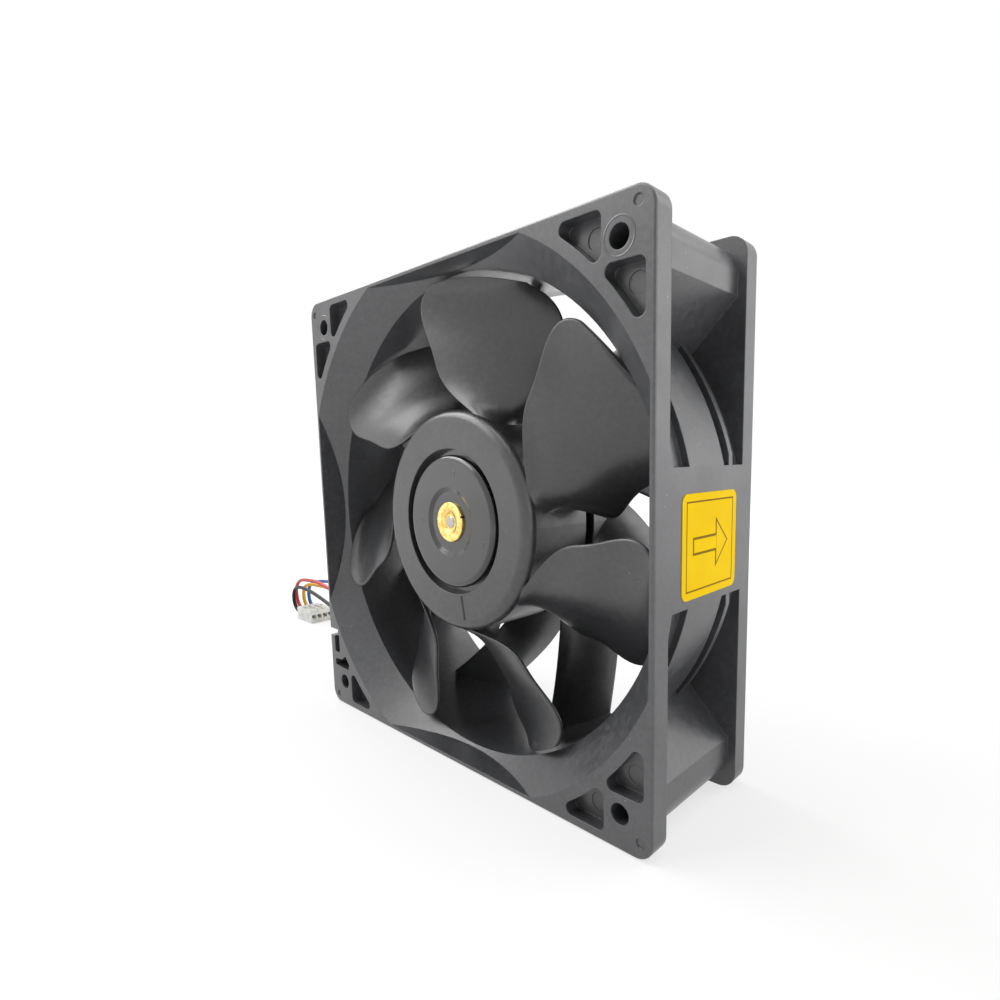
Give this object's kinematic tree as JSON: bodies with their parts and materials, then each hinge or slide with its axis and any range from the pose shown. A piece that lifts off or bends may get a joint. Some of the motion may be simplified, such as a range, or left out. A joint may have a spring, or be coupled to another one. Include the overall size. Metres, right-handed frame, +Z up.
{
  "type": "axial cooling fan",
  "caption": "Square axial cooling fan with a swept-blade impeller, curved outlet guide vanes, a ball-bearing motor and leads to a small connector.",
  "frame": {"origin": "on the rotor axis at the middle of the frame's thickness", "axes": "+Y is the direction of the air flow, out of the outlet, and +Z is up as the fan stands on its edge"},
  "size_m": [0.2328, 0.0447, 0.12],
  "materials": {
    "frame_plastic": "fine-textured dark grey glass-filled plastic",
    "impeller_plastic": "smooth dark grey glass-filled plastic",
    "black_steel": "black satin coated steel",
    "ferrite": "dull bonded ferrite",
    "brass": "turned",
    "shaft_steel": "ground",
    "bearing_steel": "ground and polished",
    "cage_plastic": "natural nylon",
    "lamination_steel": "stamped laminations",
    "insulation": "moulded",
    "copper_wire": "enamelled copper wire",
    "tinned_metal": "tin plated",
    "board": "green solder resist",
    "chip_plastic": "moulded black",
    "capacitor_can": "drawn",
    "yellow_sticker": "satin film",
    "plug_nylon": "natural nylon",
    "black_lead": "PVC insulation",
    "red_lead": "PVC insulation",
    "yellow_lead": "PVC insulation",
    "blue_lead": "PVC insulation"
  },
  "bodies": {
    "frame": {"housing": "frame_plastic", "bearing_tube": "brass", "stator_core": "lamination_steel", "front_insulator": "insulation", "rear_insulator": "insulation", "coils_phase_u": "copper_wire", "coils_phase_v": "copper_wire", "coils_phase_w": "copper_wire", "winding_pins": "tinned_metal", "circuit_board": "board", "driver_chip": "chip_plastic", "capacitor": "capacitor_can", "hall_sensor": "chip_plastic", "chip_resistors": "chip_plastic", "lead_solder": "tinned_metal", "side_sticker": "yellow_sticker", "preload_washer": "bearing_steel", "front_outer_race": "bearing_steel", "rear_outer_race": "bearing_steel", "front_bearing_shields": "bearing_steel", "rear_bearing_shields": "bearing_steel", "plug_housing": "plug_nylon", "crimp_terminals": "tinned_metal", "black_lead_held": "black_lead", "black_lead": "black_lead", "red_lead_held": "red_lead", "red_lead": "red_lead", "yellow_lead_held": "yellow_lead", "yellow_lead": "yellow_lead", "blue_lead_held": "blue_lead", "blue_lead": "blue_lead"},
    "rotor": {"impeller": "impeller_plastic", "rotor_yoke": "black_steel", "magnet_ring": "ferrite", "rotor_boss": "brass", "shaft": "shaft_steel", "retaining_clip": "shaft_steel", "front_inner_race": "bearing_steel", "rear_inner_race": "bearing_steel"},
    "front_cage": {"front_bearing_balls": "bearing_steel", "front_ball_cage": "cage_plastic"},
    "rear_cage": {"rear_bearing_balls": "bearing_steel", "rear_ball_cage": "cage_plastic"}
  },
  "joints": [
    {"name": "rotor_spin", "type": "hinge", "parent": "frame", "child": "rotor", "pos_m": [0, 0, 0], "axis": [0, -1, 0], "continuous": true},
    {"name": "front_cage_spin", "type": "hinge", "parent": "frame", "child": "front_cage", "pos_m": [0, -0.0094, 0], "axis": [0, -1, 0], "continuous": true},
    {"name": "rear_cage_spin", "type": "hinge", "parent": "frame", "child": "rear_cage", "pos_m": [0, 0.0094, 0], "axis": [0, -1, 0], "continuous": true}
  ],
  "couplings": [
    {"joint": "front_cage_spin", "follows": "rotor_spin", "ratio": 0.3564},
    {"joint": "rear_cage_spin", "follows": "rotor_spin", "ratio": 0.3564}
  ]
}
